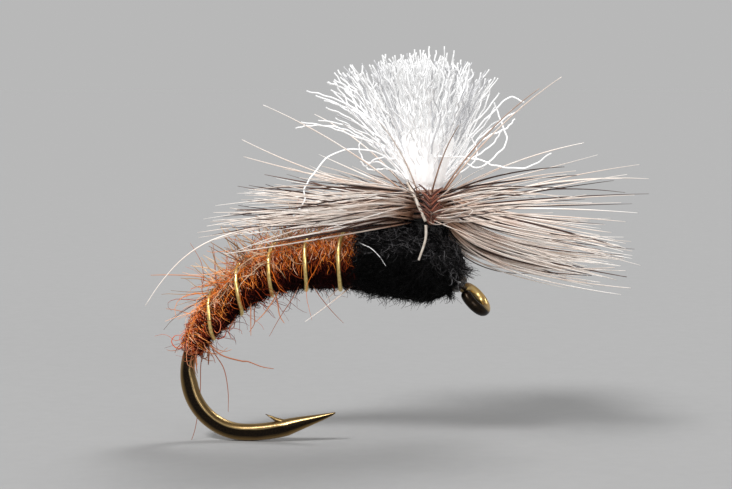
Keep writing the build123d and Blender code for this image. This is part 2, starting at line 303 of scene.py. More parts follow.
class Shader:
    """A material's nodes: the Principled shader and short ways to add what feeds it."""

    def __init__(self, name, **settings):
        MATERIALS[name] = material = bpy.data.materials.new(name)
        material.use_nodes = True
        self.tree = material.node_tree
        self.main = self.tree.nodes["Principled BSDF"]
        for socket, value in settings.items():
            self.main.inputs[socket.replace("_", " ")].default_value = value

    def feed(self, socket, value):
        """Link the socket if the value is another socket, or else set it."""
        if isinstance(value, bpy.types.NodeSocket):
            self.tree.links.new(value, socket)
        else:
            socket.default_value = value

    def put(self, kind, output, inputs=None, **values):
        """The output of a new node with these inputs and values."""
        node = self.tree.nodes.new("ShaderNode" + kind)
        for key, value in values.items():
            setattr(node, key, value)
        for key, value in (inputs or {}).items():
            self.feed(node.inputs[key], value)
        return node.outputs[output]

    def value(self, name):
        return self.put("Attribute", "Fac", attribute_name=name)

    def ramp(self, fac, stops):
        colour = self.put("ValToRGB", "Color", {"Fac": fac})
        elements = colour.node.color_ramp.elements
        while len(elements) < len(stops):
            elements.new(0.5)
        for element, (at, value) in zip(elements, stops):
            element.position, element.color = at, (*value, 1)
        return colour

    def noise(self, size, detail=3, stretch=(1, 1, 1)):
        """Noise whose lumps are about this many millimetres across."""
        where = {"Vector": self.put("TexCoord", "Object"), "Scale": stretch}
        inputs = {"Vector": self.put("Mapping", "Vector", where), "Scale": 1 / (size * MM)}
        return self.put("TexNoise", "Fac", {**inputs, "Detail": detail})

    def mix(self, fac, a, b, blend="MIX"):
        return self.put("Mix", 2, {0: fac, 6: a, 7: b}, data_type="RGBA", blend_type=blend)

    def span(self, fac, low, high):
        """fac from 0..1 spread over low..high."""
        return self.put("MapRange", "Result", {"Value": fac, "To Min": low, "To Max": high})

    def bump(self, height, strength, depth):
        inputs = {"Height": height, "Strength": strength, "Distance": depth * MM}
        self.link(self.put("Bump", "Normal", inputs), "Normal")

    def link(self, socket, name):
        self.tree.links.new(socket, self.main.inputs[name])


def hair(name, stops, rough=(0.35, 0.55), shade=None, **settings):
    """Fibres: each takes its colour from its own tone, and shade tints it from root to tip, as
    painted shade on the fur and the post's fibres and as the feather's own bars on the barbs.
    """
    sh = Shader(name, **settings)
    colour = sh.ramp(sh.value("tone"), stops)
    if shade:
        colour = sh.mix(1, colour, sh.ramp(sh.value("along"), shade), "MULTIPLY")
    sh.link(colour, "Base Color")
    sh.link(sh.span(sh.noise(0.15), *rough), "Roughness")


def grained(name, size, detail, stops, rough=None, bump=None, stretch=(1, 1, 1), **settings):
    """Solid stuff whose colour, and roughness and bumps if given, follow one noise."""
    sh = Shader(name, **settings)
    grain = sh.noise(size, detail, stretch)
    sh.link(sh.ramp(grain, stops), "Base Color")
    if rough:
        sh.link(sh.span(grain, *rough), "Roughness")
    if bump:
        sh.bump(grain, *bump)


def bronze(name, gold):
    """Bronzed steel: dark lacquer with painted reflection, gold along the wire's outer and inner
    edges and near black where it faces to either side.
    """
    sh = Shader(name, Metallic=1, Coat_Weight=0.08, Coat_Roughness=0.05)
    patches, fine = sh.noise(0.9, 5), sh.noise(0.06, 3)
    edge = sh.put("Math", "Value", {0: sh.span(patches, -0.05, 0.05), 1: sh.value("tone")})
    colour = sh.ramp(edge, [
        (0, gold), (0.08, tuple(0.7 * part for part in gold)), (0.2, (0.1, 0.064, 0.026)),
        (0.27, (0.34, 0.24, 0.11)), (0.34, (0.01, 0.007, 0.005)), (0.68, (0.008, 0.006, 0.005)),
        (0.75, (0.09, 0.058, 0.025)), (0.87, (0.27, 0.17, 0.065)), (1, (0.4, 0.26, 0.1)),
    ])
    sh.link(sh.mix(sh.span(fine, -0.12, 0.22), colour, (0.15, 0.095, 0.04, 1)), "Base Color")
    sh.link(sh.span(fine, 0.24, 0.44), "Roughness")
    sh.bump(fine, 0.25, 0.01)


def grey(v):
    return (v, v, v)


def blend(low, high, low_at=0.3, high_at=0.7):
    """The two stops of a ramp over noise."""
    return [(low_at, low), (high_at, high)]


RUST = [
    (0, (0.01, 0.002, 0.002)), (0.2, (0.065, 0.01, 0.008)), (0.42, (0.29, 0.045, 0.014)),
    (0.64, (0.66, 0.14, 0.018)), (0.84, (0.92, 0.31, 0.05)), (1, (0.88, 0.52, 0.34)),
]
TAIL_RED = [
    (0, (0.01, 0.002, 0.002)), (0.25, (0.08, 0.01, 0.008)), (0.55, (0.46, 0.066, 0.022)),
    (0.82, (0.8, 0.19, 0.075)), (1, (0.86, 0.45, 0.3)),
]
# Painted shade: the rust hairs are darker at their roots, down in the fur.
RUST_SHADE = [(0, grey(0.5)), (0.35, grey(1)), (1, grey(1.1))]
STRAY = [(0, (0.045, 0.012, 0.007)), (0.5, (0.26, 0.075, 0.03)), (1, (0.62, 0.27, 0.13))]
GUARD = [(0, (0.1, 0.045, 0.02)), (0.5, (0.42, 0.24, 0.12)), (1, (0.78, 0.58, 0.4))]
BLACK = [
    (0, grey(0.001)), (0.45, grey(0.003)), (0.72, (0.012, 0.011, 0.012)),
    (1, (0.17, 0.165, 0.17)),
]
WHITE = [(0, (0.36, 0.36, 0.38)), (0.3, (0.78, 0.78, 0.79)), (1, (0.98, 0.98, 0.975))]
# The tips are darker, as they get the most light.
WHITE_SHADE = [(0, grey(1)), (0.6, grey(0.98)), (0.85, grey(0.84)), (1, grey(0.62))]
BARB = [
    (0, (0.03, 0.012, 0.008)), (0.22, (0.1, 0.048, 0.032)), (0.45, (0.4, 0.28, 0.22)),
    (0.68, (0.76, 0.67, 0.6)), (1, (0.95, 0.92, 0.88)),
]
# A barred feather is brown at the root and cream beyond it, with browner bars towards the tip.
BARB_SHADE = [
    (0, (0.4, 0.22, 0.15)), (0.12, (0.55, 0.37, 0.28)), (0.26, (0.95, 0.88, 0.84)),
    (0.4, (0.86, 0.74, 0.68)), (0.5, grey(1)), (0.66, (0.92, 0.85, 0.81)), (1, grey(0.95)),
]
BARB_ROOT = [(0, (0.03, 0.008, 0.006)), (1, (0.26, 0.085, 0.05))]
FLOOR = 0.28  # the floor's own grey, which the lights bring to the world's grey
WORLD = 0.48

RUST_LOOK = dict(shade=RUST_SHADE, Specular_IOR_Level=0.03)
# A little emission stands in for light that comes through the fibres.
WHITE_LOOK = dict(rough=(0.3, 0.45), shade=WHITE_SHADE, Emission_Color=(1, 1, 1, 1),
                  Emission_Strength=0.2)
BARB_LOOK = dict(rough=(0.22, 0.38), shade=BARB_SHADE, Specular_IOR_Level=0.3)
THREAD_LOOK = dict(rough=(0.35, 0.6), bump=(0.5, 0.01), Sheen_Weight=0.3)
QUILL_ROUGH = (0.3, 0.5)
CORE_BUMP = (0.8, 0.08)

hair("rust_fur", RUST, **RUST_LOOK)
hair("rust_fur_tail", TAIL_RED, **RUST_LOOK)
hair("stray_fur", STRAY, Specular_IOR_Level=0.2)
hair("guard_hair", GUARD, Specular_IOR_Level=0.25)
hair("black_fur", BLACK, rough=(0.3, 0.5), Specular_IOR_Level=0.1)
hair("white_fibre", WHITE, **WHITE_LOOK)
hair("loose_white_fibre", WHITE, **WHITE_LOOK)
hair("hackle_barb", BARB, **BARB_LOOK)
hair("pale_hair", BARB, **BARB_LOOK)
hair("hackle_barb_root", BARB_ROOT, rough=(0.3, 0.45))
# The abdomen's core takes the two darkest rust tones, painted shade under the fur.
grained("rust_core", 0.25, 6, blend(RUST[0][1], RUST[1][1]), bump=CORE_BUMP,
        Roughness=0.8, Specular_IOR_Level=0.15)
grained("black_core", 0.2, 6, blend(grey(0.002), grey(0.008), 0.3, 0.75), bump=CORE_BUMP,
        Roughness=0.75, Specular_IOR_Level=0.1)
# The white core glows a little, as painted light for light that comes through the yarn.
grained("white_core", 0.08, 4, blend(grey(0.94), grey(0.98)), bump=(0.6, 0.05),
        stretch=(1, 1, 0.12), Roughness=0.5, Emission_Color=(1, 1, 1, 1), Emission_Strength=0.14)
grained("gold_wire", 0.12, 3, blend((0.74, 0.5, 0.14), (1, 0.8, 0.36)),
        rough=(0.28, 0.44), bump=(0.2, 0.01), Metallic=1)
grained("tying_thread", 0.03, 2, blend(grey(0.006), grey(0.03)), **THREAD_LOOK)
grained("rear_thread", 0.03, 2, blend((0.05, 0.01, 0.005), (0.22, 0.055, 0.015)),
        **THREAD_LOOK)
grained("head_varnish", 0.3, 2, blend((0.01, 0.007, 0.006), (0.035, 0.022, 0.014)),
        rough=(0.08, 0.2), Coat_Weight=1, Coat_Roughness=0.03)
grained("quill_horn", 0.2, 4, blend((0.4, 0.32, 0.25), (0.7, 0.64, 0.57)), QUILL_ROUGH)
grained("quill_brown", 0.2, 4, blend((0.12, 0.055, 0.035), (0.34, 0.2, 0.14)), QUILL_ROUGH)
grained("floor_paper", 0.6, 4, blend(grey(FLOOR - 0.004), grey(FLOOR + 0.004)),
        Roughness=1, Specular_IOR_Level=0)
bronze("bronzed_wire", (0.34, 0.23, 0.095))
bronze("bronzed_eye", (0.8, 0.56, 0.22))


# ---- hook
EYE_ENDS = (-18, 326)  # degrees round the ring from the neck where its wire starts and stops
BARB_ROOT_S = WIRE_END - 2.1
# Rings of the barb: distance back and rise from its root, half width and half thickness.
BARB_RINGS = [
    (-0.45, 0.19, 0.13, 0.03), (-0.22, 0.23, 0.14, 0.08), (0.02, 0.31, 0.13, 0.11),
    (0.24, 0.45, 0.1, 0.085), (0.43, 0.62, 0.06, 0.042), (0.58, 0.745, 0.02, 0.01),
]


def wire_radius(s):
    """The wire's radius: thin at the eye, full along the shank, and ground to the point."""
    share = np.clip((s - POINT_FROM) / POINT_LENGTH, 0, 1)
    tip = POINT_R + (WIRE_R - POINT_R) * np.sqrt(1 - share) * (1 - 0.35 * share)
    return np.minimum(tip, EYE_WIRE_R + (WIRE_R - EYE_WIRE_R) * smooth(s / 0.55))


def hook_wire():
    """The wire from neck to point, with its bend forged flatter and wider."""
    s = np.concatenate([
        np.linspace(-0.05, POINT_FROM, 330),
        WIRE_END - POINT_LENGTH * np.linspace(1, 0, 60)[1:] ** 1.5,
    ])
    turn, radius = circle(40), wire_radius(s)
    point, _, up = wire_frames(s)
    forged = smooth((s - BEND_FROM) / 0.8) * smooth((WIRE_END - s) / POINT_LENGTH)
    pressed = smooth((s - BEND_FROM) / 0.5) * smooth((BEND_TO - s) / 0.5)
    ground = 0.45 * (WIRE_R - radius) * (s > POINT_FROM)
    limit = (WIRE_R - (WIRE_R - FORGED_HALF) * pressed)[:, None]
    side = np.clip(radius[:, None] * cos(turn), -limit, limit)
    wide = SPREAD * forged
    rise = (radius + wide)[:, None] * sin(turn) - (ground + wide)[:, None]
    rings = point[:, None] + side[..., None] * NEAR + rise[..., None] * up[:, None]
    # The tone round the wire places its painted reflection: gold on one edge, golden brown on the
    # other, near black on its near and far sides.
    return shells("hook_wire", rings[None], 0.5 + 0.5 * sin(turn))


def rounded_end(distance):
    """How full the ring's wire is at this distance from its end."""
    return np.sqrt(np.clip(1 - (1 - np.clip(distance / EYE_WIRE_R, 0, 1)) ** 2, 0.0004, 1))


def eye_ring():
    """The ring of the eye, which closes against the neck in a rounded tip."""
    drop, roll = radians(EYE_DROP), radians(EYE_ROLL)
    to_neck = np.array([-cos(drop), 0, sin(drop)])
    square = cos(roll) * np.array([sin(drop), 0, cos(drop)]) + sin(roll) * NEAR
    angle = radians(np.linspace(*EYE_ENDS, 150))
    line = EYE_RING_R * around(angle, to_neck, np.cross(to_neck, square))
    arc = angle * EYE_RING_R
    full = rounded_end(arc[-1] - arc) * rounded_end(arc - arc[0])
    ring = around(circle(32), unit(line)[:, None], square)
    rings = line[:, None] + (EYE_WIRE_R * full)[:, None, None] * ring
    # Painted highlight: the ring is painted gold where it faces up and forward, mostly on its far
    # half, and dark lacquer elsewhere.
    facing = ring @ unit(np.array([0.75, 0, 0.65])) + 0.8 * sin(angle)[:, None] - 0.15
    painted_highlight = np.interp(facing, [-1, 0.14, 0.42, 1], [0.58, 0.44, 0.1, 0])
    return shells("hook_eye_ring", rings[None], painted_highlight)


def hook_barb():
    """The barb: a sliver cut and raised from the spear, its tip towards the bend."""
    point, way, up = (a[0] for a in wire_frames(np.array([BARB_ROOT_S])))
    lean, angle = unit(0.42 * way - 0.9 * up), circle(16)
    rings = np.array([point - out * way - lift * up + around(angle, -half_w * NEAR, half_t * lean)
                      for out, lift, half_w, half_t in BARB_RINGS])
    # The tone gives the barb the wire's painted reflection: gold on one face and browner on the
    # other.
    return shells("hook_barb", rings[None], 0.06 + 0.1 * (1 - sin(angle)))


def build_hook():
    place(hook_wire(), "bronzed_wire", "bronzed_wire", "hook")
    place(eye_ring(), "bronzed_wire", "bronzed_eye")
    place(hook_barb(), "bronzed_wire", "bronzed_wire")


# ---- thread
THREAD_R = 0.03
# s at both ends of the bands on the wire, and heights on the post.
WHIP_FINISH, RIB_TIE_IN, POST_BINDING = (0.16, 0.6), (11.9, 12.32), (2.04, 4.15)


def wire_helix(low, high, turns, radius, count):
    t = shares(count)
    return round_wire(low + (high - low) * t, TAU * turns * t, np.full(count, radius))


def post_helix(low, high, turns, radius, count):
    t = shares(count)
    x, y = radius * cos(TAU * turns * t), radius * sin(TAU * turns * t)
    return np.stack([POST_X + x, y, low + (high - low) * t], -1)


def wraps(material, node, helix, ends, radius, turn_points):
    """Thread wound tightly round the wire or the post."""
    turns = (ends[1] - ends[0]) / (2 * THREAD_R)
    line = helix(*ends, turns, radius, int(turns * turn_points))
    thread = tube(f"{node}_wraps", line, THREAD_R * 1.05, THREAD_R * 1.05, 8)
    place(thread, "tying_thread", material, node)


def head_bead():
    """Varnish that has soaked into the whip finish and set as a smooth bead."""
    t = shares(40)
    s, turn = np.broadcast_arrays((0.1 + 0.58 * t)[:, None], circle(40))
    radius = np.broadcast_to((0.24 + 0.15 * sin(np.pi * t) ** 0.6)[:, None], s.shape)
    return shells("head_varnish", round_wire(s, turn, radius)[None])


def build_thread():
    lift = THREAD_R * 0.8
    wraps("tying_thread", "whip_finish", wire_helix, WHIP_FINISH, WIRE_R + lift, 28)
    wraps("rear_thread", "rib_tie_in", wire_helix, RIB_TIE_IN, WIRE_R + 0.02 + lift, 28)
    wraps("tying_thread", "post_binding", post_helix, POST_BINDING, POST_R + 0.02, 32)
    place(head_bead(), "varnish", "head_varnish", "head_cement")
    for node in ("thread_base", "post_lashing_front", "post_lashing_rear", "hackle_tie_off"):
        look = "rear_thread" if node == "thread_base" else "tying_thread"
        NODES[node].data.materials.clear()
        NODES[node].data.materials.append(MATERIALS[look])


# ---- dubbed bodies
# How far hand winding has set the rib off an even helix, and how far it leans, by s.
DRIFT_S, DRIFT = [4.3, 4.9, 6.4, 9.4, 10.9, 11.6], [0, 0, -0.19, -0.22, -0.12, 0]
LEAN_S, LEAN = [4.3, 4.9, 6.4, 7.9, 9.4, 10.9, 11.6], [0, 0.21, 0.13, -0.08, -0.22, -0.36, 0]
RIB_PITCH = (RIB_FIRST - RIB_LAST) / RIB_TURNS
CORE_SKIN = 0.93  # the core's radius as a share of the skin's


def rib_drift(s, turn):
    """How far along the wire hand winding has set the rib off an even helix."""
    return np.interp(s, DRIFT_S, DRIFT) + np.interp(s, LEAN_S, LEAN) * sin(turn)


def rib_distance(s, turn):
    """How far along the wire the nearest turn of the rib is from this place."""
    crossing = RIB_FIRST - (turn - RIB_PHASE) / TAU * RIB_PITCH
    return np.abs((s - rib_drift(s, turn) - crossing + RIB_PITCH / 2) % RIB_PITCH - RIB_PITCH / 2)


def abdomen_radius(s, turn):
    """The abdomen's skin, which the rib presses in."""
    s = np.clip(s, 4.1, 12.25)
    pressed = np.exp(-(rib_distance(s, turn) / 0.22) ** 2) * smooth((s - 4.2) / 0.3)
    return np.interp(s, *zip(*ABDOMEN)) * PACKED - 0.1 * pressed


def thorax_radius(s, turn):
    """The thorax's skin, which is flatter below."""
    return np.interp(s, *zip(*THORAX)) * PACKED * (1 - 0.1 * np.maximum(-sin(turn), 0))


# Each body's skin and slot.
BODIES = {"abdomen": (abdomen_radius, "rust_dubbing"), "thorax": (thorax_radius, "black_dubbing")}


def core(rng, body, material, s_from, s_to, lumps):
    """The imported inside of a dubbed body, lumpy and closed at both ends."""
    radius_of, slot = BODIES[body]
    s, turn = np.broadcast_arrays(np.linspace(s_from, s_to, 160)[:, None], circle(72))
    radius = CORE_SKIN * radius_of(s, turn)
    for _ in range(14):
        wave_s, wave_t, phase = rng.uniform(1, 7), rng.integers(1, 8), rng.uniform(0, TAU)
        radius = radius + lumps * sin(wave_s * s + wave_t * turn + phase) / 4
    ends = smooth((s - s_from) / 0.25) * smooth((s_to - s) / 0.25)
    radius = 0.28 + (radius - 0.28) * np.sqrt(np.clip(ends, 0, 1))
    piece = shells(f"{body}_core", round_wire(s, turn, radius)[None])
    place(piece, slot, material, f"{body}_dubbing")


def fur(rng, body, layer, material, count, s_range, length, lay, lift, curl, thick, tones, points=7,
        under_rib=False, turns=(0, 360)):
    """Hairs laid round a body, by ranges: where they stand along the wire, their length, their
    angle off the way round the body, how steeply they leave it, how far they curl, their radius
    at the root, and where they stand round the body. tones is the mean tone, how much the top is
    painted brighter and the bottom darker as painted light and shade, and how much hairs differ."""
    radius_of, slot = BODIES[body]
    s = rng.uniform(*s_range, count)
    turn = radians(rng.uniform(*turns, count))
    size = rng.uniform(*length, count) * rng.choice([1, 1, 1, 1.35], count)
    angle = radians(rng.uniform(*lay, count)) * rng.choice([-1, 1], count)
    side = rng.choice([-1, 1], count)
    climb = rng.uniform(*lift, count)
    u = shares(points)[None]
    run = size[:, None] * u
    depth = column(rng, -0.12, 0.02, count)
    bend = column(rng, *curl, count) * u
    beat, phase = column(rng, 0.6, 1.6, count), column(rng, 0, TAU, count)
    s_u = s[:, None] + run * sin(angle)[:, None] + bend * wave(beat, u, phase)
    s_u = s_u - bend * sin(phase) * u
    radius = radius_of(s, turn)[:, None]
    turn_u = turn[:, None] + (side * cos(angle))[:, None] * run / radius
    turn_u = turn_u + bend / radius * cos(TAU * 0.8 * beat * u + 2 * phase)
    height = depth + climb[:, None] * run * u + 0.5 * bend * wave(beat, u, phase + 1.7)
    if under_rib:
        height = np.minimum(height, 0.02 + 1.6 * rib_distance(s_u, turn_u))
    lines = round_wire(s_u, turn_u, radius_of(np.clip(s_u, *s_range), turn_u) + height)
    radii = column(rng, *thick, count) * (1 - 0.7 * u ** 2)
    bright, top, vary = tones
    # Painted light and shade: hairs on the top of the body get brighter tones and those below
    # darker.
    painted_top_light = np.interp(sin(turn), [-0.3, 0.05, 0.45, 1], [-1, -0.4, 0.75, 1])
    tone = bright + top * painted_top_light + rng.normal(0, vary, count) * (0.62 + 0.38 * painted_top_light)
    place(tubes(f"{body}_{layer}", lines, radii, np.clip(tone, 0, 1)), slot, material)


def on_body(body, s, degrees):
    """The place on a body along the wire at s, this many degrees round from near side to top."""
    s, turn = np.array([float(s)]), radians([float(degrees)])
    return round_wire(s, turn, BODIES[body][0](s, turn) - 0.1)[0]


# Loose fibres of the abdomen: s, degrees round, heading, climb, steps, radius and tone.
RUST_STRAYS = [
    (11.6, -60, -20, -36, [(0.9, 0), (0.9, 24), (0.35, 10), (0.6, 4, -14), (0.5, 10)], 0.0306, 0.6),
    (11.3, -75, 10, -75, [(0.7, 0), (0.8, 15), (0.9, -20), (0.8, -10)], 0.0221, 0.52),
    (11.7, -85, 180, -80, [(0.9, 0), (1.1, -8), (1.4, 6), (0.9, 12)], 0.0187, 0.45),
    (11.2, -50, 0, 10, [(0.8, 0), (0.5, 50), (0.5, 40), (0.6, -60)], 0.0221, 0.7),
    (10.9, 60, 175, 5, [(0.5, 0), (0.5, 8), (0.4, 5, -6)], 0.0221, 0.75),
    (9.4, 75, 172, 12, [(1.1, 0), (1.1, -10), (0.9, -4)], 0.0238, 0.85),
    (9.9, 70, 120, 70, [(0.6, 0), (0.7, 12), (0.7, -10)], 0.0204, 0.6),
    (10.4, 80, 180, 60, [(0.5, 0), (0.6, 35), (0.6, -15), (0.8, -20)], 0.0187, 0.65),
    (9, -60, -80, -60, [(0.5, 0), (0.5, -25), (0.5, 30)], 0.0255, 0.72),
    (7.9, -65, -40, -62, [(0.5, 0), (0.6, -14), (0.4, 30)], 0.0289, 0.78),
    (7.5, -60, 200, -60, [(0.5, 0), (0.7, 6), (0.5, 10)], 0.0289, 0.82),
    (8.6, -70, 190, -70, [(0.6, 0), (0.5, -20), (0.4, 30)], 0.0221, 0.62),
    (6.6, -55, 200, -62, [(0.7, 0), (0.9, 6), (0.8, -4)], 0.017, 0.5),
    (6.2, -55, -20, -55, [(0.6, 0), (0.8, 8), (0.7, 6)], 0.017, 0.54),
]
# Pale hairs that cross below the abdomen: s, degrees round, heading, climb and length.
PALE_HAIRS = [(4.5, -70, 196, -38, 2.3), (4.9, -72, 190, -46, 1)]


def rust_strays():
    lines = [wander(on_body("abdomen", s, at), heading, climb, steps)
             for s, at, heading, climb, steps, _, _ in RUST_STRAYS]
    *_, radii, tones = zip(*RUST_STRAYS)
    fibres("abdomen_strays", "rust_dubbing", "stray_fur", lines, radii, tones)


def tail_loops(rng, count=26):
    """Springy fibres that loop round the tail, where the dubbing was started."""
    lines = []
    for _ in range(count):
        s, at = rng.uniform(10.3, 12.25), rng.uniform(-120, 150)
        curl = rng.choice([-1, 1]) * rng.uniform(45, 85)
        size = rng.uniform(0.14, 0.34)
        climb = -at if abs(at) > 90 else at
        steps = [(size, rng.normal(0, 12), curl + rng.normal(0, 10)) for _ in range(5)]
        heading = rng.choice([180, 0]) + rng.normal(0, 40)
        lines.append(wander(on_body("abdomen", s, at), heading, climb, steps, 26))
    radii, tones = rng.uniform(0.014, 0.023, count), np.clip(rng.normal(0.55, 0.18, count), 0, 1)
    fibres("abdomen_tail_loops", "rust_dubbing", "rust_fur_tail", lines, radii, tones)


def crest_hairs(rng, count=80):
    """Straighter hairs that stand up from the abdomen's back."""
    lines = []
    for _ in range(count):
        start = on_body("abdomen", rng.uniform(6, 9.8), rng.uniform(35, 100))
        size = rng.uniform(0.45, 1.05)
        steps = [(size, 0), (size, rng.normal(0, 8), rng.normal(0, 14))]
        heading = rng.choice([0, 180, 180]) + rng.normal(0, 25)
        lines.append(wander(start, heading, rng.uniform(12, 65), steps, 12))
    radii, tones = rng.uniform(0.02, 0.031, count), rng.uniform(0.1, 1, count)
    fibres("abdomen_crest_hairs", "rust_dubbing", "guard_hair", lines, radii, tones)


def tail_wisps(rng, count=44):
    """Wisps that hang from the end of the dubbing over the bare wire."""
    lines = []
    for i in range(count):
        at = rng.uniform(-130, -20) if i % 3 else rng.uniform(-180, 180)
        start = on_body("abdomen", rng.uniform(11.5, 12.2), at)
        size, bend = rng.uniform(0.22, 0.5), rng.normal(0, 34)
        steps = [(size, 0), (size, rng.normal(0, 25), bend), (0.7 * size, rng.normal(0, 25), bend)]
        lines.append(wander(start, rng.uniform(0, 360), rng.uniform(-85, -20), steps, 16))
    radii, tones = rng.uniform(0.014, 0.024, count), rng.uniform(0.3, 1, count)
    fibres("abdomen_tail_wisps", "rust_dubbing", "stray_fur", lines, radii, tones)


def build_abdomen():
    rng = np.random.default_rng(11)
    core(rng, "abdomen", "rust_core", 3.9, 12.1, 0.03)
    for i in (1, 2):
        fur(rng, "abdomen", f"fur_laid_{i}", "rust_fur", 5200, (4.3, 12.2), (0.22, 0.58), (0, 32),
            (0.02, 0.34), (0.01, 0.07), (0.015, 0.024), (0.42, 0.46, 0.22), under_rib=True)
    fur(rng, "abdomen", "fur_loose", "rust_fur", 1700, (4.7, 12), (0.3, 0.65), (0, 70),
        (0.25, 0.65), (0.03, 0.12), (0.013, 0.021), (0.46, 0.46, 0.22), 9, under_rib=True)
    fur(rng, "abdomen", "fur_wild", "rust_fur", 100, (5.4, 11.9), (0.6, 1.2), (30, 90),
        (0.6, 1.3), (0.1, 0.35), (0.013, 0.022), (0.52, 0.15, 0.2), 14)
    fur(rng, "abdomen", "fur_crest", "rust_fur", 110, (6.2, 10.4), (0.6, 1.5), (55, 90),
        (0.5, 1.3), (0.05, 0.3), (0.013, 0.02), (0.46, 0.22, 0.22), 12, turns=(40, 140))
    fur(rng, "abdomen", "guard_hairs", "guard_hair", 95, (6.2, 9.6), (0.9, 2), (58, 90),
        (0.3, 0.9), (0.03, 0.18), (0.017, 0.025), (0.5, 0.15, 0.25), 14, turns=(35, 145))
    fur(rng, "abdomen", "fur_tail", "rust_fur_tail", 1500, (10.4, 12.3), (0.2, 0.5), (0, 30),
        (0.05, 0.45), (0.01, 0.06), (0.013, 0.021), (0.5, 0.26, 0.2), under_rib=True)
    rust_strays()
    tail_loops(rng)
    crest_hairs(rng)
    tail_wisps(rng)
    pale = [wander(on_body("abdomen", s, at), heading, climb, [(0.5 * size, 0), (0.5 * size, 2, 3)])
            for s, at, heading, climb, size in PALE_HAIRS]
    fibres("abdomen_pale_hairs", "feather", "pale_hair", pale, 0.03, [0.85, 0.7])


def collar_fur(rng, count=420):
    """Short fur that closes the thorax round the foot of the post."""
    lines = []
    for _ in range(count):
        turn = rng.uniform(0, TAU)
        out = POST_R + rng.uniform(0.06, 0.3)
        start = (POST_X + out * cos(turn), out * sin(turn), rng.uniform(2.2, 2.95))
        steps = [(0.16, rng.normal(0, 35), rng.normal(0, 35)) for _ in range(3)]
        heading = np.degrees(turn) + rng.choice([-1, 1]) * rng.uniform(40, 100)
        lines.append(wander(start, heading, rng.normal(0, 30), steps, 8))
    tones = np.clip(rng.normal(0.45, 0.25, count), 0, 1)
    fibres("thorax_fur_collar", "black_dubbing", "black_fur", lines, 0.016, tones, sides=3)


def head_curls(rng, count=14):
    """Pale curled fibres at the head, where the thorax meets the eye."""
    lines = []
    for _ in range(count):
        start = on_body("thorax", rng.uniform(0.55, 1.15), rng.uniform(-25, 45))
        curl = rng.choice([-1, 1]) * rng.uniform(50, 80)
        steps = [(rng.uniform(0.12, 0.22), rng.normal(0, 20), curl) for _ in range(6)]
        lines.append(wander(start, rng.normal(-50, 40), rng.uniform(0, 60), steps, 26))
    tones = rng.uniform(0.9, 1, count)
    fibres("thorax_curls", "black_dubbing", "black_fur", lines, 0.014, tones)


def build_thorax():
    rng = np.random.default_rng(23)
    core(rng, "thorax", "black_core", 0.4, 4.3, 0.04)
    for i in (1, 2):
        fur(rng, "thorax", f"fur_laid_{i}", "black_fur", 4600, (0.5, 4.22), (0.22, 0.5), (0, 90),
            (0.1, 0.6), (0.04, 0.15), (0.012, 0.019), (0.32, 0.34, 0.22))
    fur(rng, "thorax", "fur_loose", "black_fur", 1900, (0.5, 4.22), (0.25, 0.6), (0, 90),
        (0.4, 0.9), (0.06, 0.2), (0.01, 0.017), (0.42, 0.34, 0.3), 9)
    collar_fur(rng)
    head_curls(rng)
    # One white fibre of the post has been caught between the abdomen and the thorax.
    fibre = wander(on_body("thorax", 4.22, 42), -60, -10,
                   [(0.4, 0), (0.4, 30, -8), (0.45, 14, -22), (0.45, 4, -14)])
    fibres("thorax_white_fibre", "white_yarn", "loose_white_fibre", [fibre], 0.022, [0.8])


def build_rib():
    share = shares(420)
    s = RIB_FIRST + (RIB_LAST - RIB_FIRST) * share
    turn = RIB_PHASE + share * RIB_TURNS * TAU
    s = s + rib_drift(s, turn)
    line = round_wire(s, turn, abdomen_radius(s, turn) + RIB_OUT)
    place(tube("rib_wire_gold", line, RIB_R, RIB_R, 14), "gold_wire", "gold_wire", "rib_wire")


# ---- post
REAR_LEAN = -0.055  # how far the post leans back for each millimetre of its height
CORE_FOOT, CORE_TOP, DOME_TOP = 1.5, 7.9, 7.95
YARN_COUNT, YARN_POINTS = 700, 48
YARN_FAN = 23.5  # degrees that the outermost fibres lean
YARN_LENGTH = 5.02
YARN_ROOT_R = 0.6  # radius at the foot of the fan
YARN_R = 0.031  # a loose fibre's radius
# Bunches that splay from the rest: heading, degrees from upright, length and count of fibres.
YARN_BUNCHES = [(184, 27, 4.9, 7), (178, 25, 5, 8), (2, 23, 4.8, 6)]
# Bunches that bend away from the post: heading, height, first climb, steps and count of fibres.
YARN_SPLAYS = [
    (180, 4.4, 52, [(2.3, 0), (1.3, -10), (1.1, -8), (0.7, -18)], 5),
    (184, 4.3, 59, [(1.8, 0), (1.5, -20), (0.9, -6), (1, -14)], 4),
    (175, 4.5, 60, [(2.2, 0), (1.2, -10), (1, 12), (0.7, -14)], 4),
    (2, 4.3, 54, [(1.5, 0), (1.1, 6), (0.9, -12), (0.6, 16)], 4),
]
